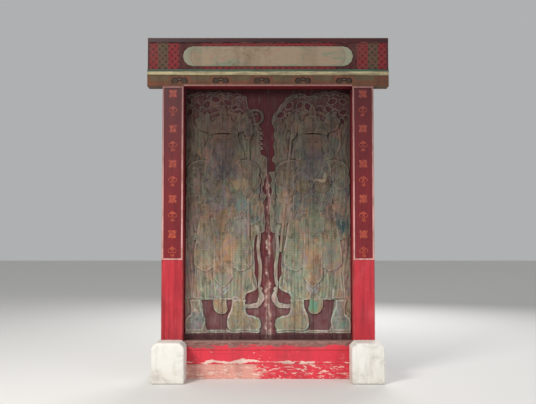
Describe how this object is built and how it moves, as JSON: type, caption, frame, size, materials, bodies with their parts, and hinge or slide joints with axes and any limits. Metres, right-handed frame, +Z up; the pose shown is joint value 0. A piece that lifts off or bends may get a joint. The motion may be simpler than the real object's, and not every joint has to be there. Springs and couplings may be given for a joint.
{
  "type": "carved double door",
  "caption": "Carved and painted double-leaf gate door with guardian reliefs, pivot hinges, sliding bar, tall threshold, pillow stones, posts and painted lintel.",
  "frame": {"origin": "on the ground, midway between the posts and in the middle of their depth", "axes": "+X to the viewer's right, +Y into the building, +Z up; the carved street face looks along -Y"},
  "size_m": [2.35, 0.6, 3.304],
  "materials": {
    "white_stone": "dressed, sunlit",
    "iron": "forged, dark",
    "red_paint_wood": "red lacquer, worn",
    "worn_wood": "paint worn through to grey wood",
    "pink_trim": "faded pink paint",
    "ochre_band": "ochre paint with dark cloud motifs",
    "green_paint": "dark green paint",
    "cream_paint": "cream paint, faded decoration",
    "painted_leaf": "carved relief, weathered mineral paint on a maroon ground",
    "aged_wood": "bare aged timber"
  },
  "bodies": {
    "door_frame": {"pillow_stone_left": "white_stone", "pillow_stone_right": "white_stone", "socket_cup_left": "iron", "socket_cup_right": "iron", "post_left": "red_paint_wood", "post_right": "red_paint_wood", "couplet_line_left": "pink_trim", "couplet_line_right": "pink_trim", "bead_head": "pink_trim", "threshold_lower": "worn_wood", "threshold_upper": "red_paint_wood", "threshold_cap": "worn_wood", "lintel_beam": "ochre_band", "moulding_green": "green_paint", "moulding_cream": "cream_paint", "painted_board": "cream_paint", "top_rail": "red_paint_wood", "stud_left": "aged_wood", "stud_middle": "aged_wood", "stud_right": "aged_wood", "pivot_rail": "aged_wood", "pivot_rail_pegs": "aged_wood"},
    "leaf_left": {"meeting_stile_left": "painted_leaf", "plank_1_left": "painted_leaf", "plank_2_left": "painted_leaf", "plank_3_left": "painted_leaf", "plank_4_left": "painted_leaf", "pivot_stile_left": "painted_leaf", "batten_1_left": "aged_wood", "batten_2_left": "aged_wood", "batten_3_left": "aged_wood", "batten_4_left": "aged_wood", "pivot_shoe_left": "iron", "nails_left": "iron", "guide_near": "aged_wood", "guide_far": "aged_wood"},
    "leaf_right": {"meeting_stile_right": "painted_leaf", "plank_1_right": "painted_leaf", "plank_2_right": "painted_leaf", "plank_3_right": "painted_leaf", "plank_4_right": "painted_leaf", "pivot_stile_right": "painted_leaf", "batten_1_right": "aged_wood", "batten_2_right": "aged_wood", "batten_3_right": "aged_wood", "batten_4_right": "aged_wood", "pivot_shoe_right": "iron", "nails_right": "iron", "keeper_near": "aged_wood", "keeper_far": "aged_wood"},
    "bar": {"bar": "aged_wood", "bar_peg": "aged_wood"}
  },
  "joints": [
    {"name": "leaf_left_pivot", "type": "hinge", "parent": "door_frame", "child": "leaf_left", "pos_m": [-0.865, 0.0975, 0.12], "axis": [0, 0, 1], "range_deg": [0, 95]},
    {"name": "leaf_right_pivot", "type": "hinge", "parent": "door_frame", "child": "leaf_right", "pos_m": [0.865, 0.0975, 0.12], "axis": [0, 0, -1], "range_deg": [0, 95]},
    {"name": "bar_slide", "type": "slide", "parent": "leaf_left", "child": "bar", "axis": [1, 0, 0], "range_m": [0, 0.3]}
  ]
}
